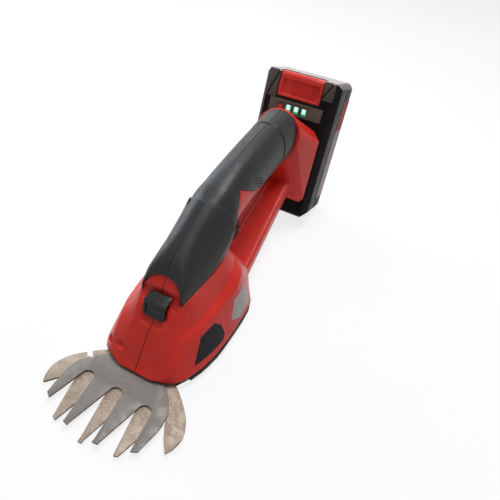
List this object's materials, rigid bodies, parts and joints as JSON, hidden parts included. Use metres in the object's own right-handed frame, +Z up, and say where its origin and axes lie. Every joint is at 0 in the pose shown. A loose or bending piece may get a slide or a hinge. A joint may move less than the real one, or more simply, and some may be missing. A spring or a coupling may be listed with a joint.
{
  "type": "cordless grass shears",
  "caption": "Hand-held grass shears with a fixed and a swinging toothed blade, soft-grip handle, guard bar, trigger, lock-off slider and slide-on battery pack.",
  "frame": {"origin": "on the ground plane, the underside of the base plate, straight under the blade pivot", "axes": "+X to the left side of the tool, -Y along the blades, +Z up"},
  "size_m": [0.112, 0.3719, 0.1422],
  "materials": {
    "red_shell": "satin",
    "soft_grip": "matte",
    "black_plastic": "satin",
    "grey_plastic": "satin",
    "white_plastic": "satin",
    "red_button": "satin",
    "light_window": "gloss",
    "blade_steel": "satin",
    "blade_coated": "satin",
    "steel": "satin",
    "copper": "satin",
    "brass": "satin",
    "laminations": "matte",
    "board": "satin",
    "cell": "satin",
    "lead": "matte"
  },
  "bodies": {
    "tool": {"lower_blade": "blade_steel", "pivot_bolt": "steel", "blade_washer": "steel", "base_plate": "black_plastic", "base_screws": "steel", "gear_case": "grey_plastic", "gear_cover": "grey_plastic", "cover_screws": "steel", "gear_axle": "steel", "motor_can": "steel", "motor_end_cap": "black_plastic", "housing_left": "red_shell", "housing_right": "red_shell", "grip_left": "soft_grip", "grip_right": "soft_grip", "housing_screws": "steel", "lock_off_spring": "steel", "trigger_pin": "steel", "trigger_spring": "steel", "switch_body": "grey_plastic", "terminal_block": "black_plastic", "terminal_blades": "copper", "motor_leads": "lead", "battery_leads": "lead"},
    "swing_blade": {"upper_blade": "blade_coated"},
    "drive": {"drive_gear": "white_plastic"},
    "rotor": {"motor_shaft": "steel", "armature": "laminations", "pinion": "brass"},
    "lock_off": {"lock_off_slider": "black_plastic"},
    "trigger": {"trigger": "black_plastic"},
    "plunger": {"switch_plunger": "white_plastic"},
    "pack": {"pack_front_shell": "black_plastic", "pack_rear_shell": "black_plastic", "pack_screws": "steel", "latch_spring": "steel", "indicator_panel": "grey_plastic", "indicator_lights": "light_window", "pack_board": "board", "pack_contacts": "copper", "cell_holders": "grey_plastic", "cells": "cell"},
    "latch": {"latch_button": "red_button"},
    "charge": {"charge_button": "red_button"}
  },
  "joints": [
    {"name": "blade_swing", "type": "hinge", "parent": "tool", "child": "swing_blade", "pos_m": [0, 0, 0.0058], "axis": [0, 0, 1], "range_deg": [-5.5, 10.3]},
    {"name": "drive_spin", "type": "hinge", "parent": "tool", "child": "drive", "pos_m": [0, 0.036, 0.0134], "axis": [0, 0, 1], "continuous": true},
    {"name": "rotor_spin", "type": "hinge", "parent": "tool", "child": "rotor", "pos_m": [0, 0.06135, 0.03], "axis": [0, 0, 1], "continuous": true},
    {"name": "trigger_pull", "type": "hinge", "parent": "tool", "child": "trigger", "pos_m": [0, 0.09, 0.076], "axis": [1, 0, 0], "range_deg": [0, 9], "stiffness_Nm_per_rad": 0.4, "springref_deg": -8.59, "deforming": ["trigger_spring"]},
    {"name": "plunger_press", "type": "slide", "parent": "tool", "child": "plunger", "axis": [0, 0, 1], "range_m": [0, 0.0029]},
    {"name": "lock_off_slide", "type": "slide", "parent": "tool", "child": "lock_off", "axis": [0, -0.6018, -0.7986], "range_m": [0, 0.006], "stiffness_N_per_m": 250, "springref_m": -0.003, "deforming": ["lock_off_spring"]},
    {"name": "pack_slide", "type": "slide", "parent": "tool", "child": "pack", "axis": [0, 0.289, 0.9573], "range_m": [0, 0.07]},
    {"name": "latch_press", "type": "slide", "parent": "pack", "child": "latch", "axis": [0, 0.9573, -0.289], "range_m": [0, 0.003], "stiffness_N_per_m": 600, "springref_m": -0.002, "deforming": ["latch_spring"]},
    {"name": "charge_press", "type": "slide", "parent": "pack", "child": "charge", "axis": [0, 0.9573, -0.289], "range_m": [0, 0.0008], "stiffness_N_per_m": 800, "springref_m": -0.0006}
  ],
  "couplings": [
    {"joint": "rotor_spin", "follows": "drive_spin", "ratio": -5},
    {"joint": "plunger_press", "follows": "trigger_pull", "m_per_rad": 0.018}
  ]
}
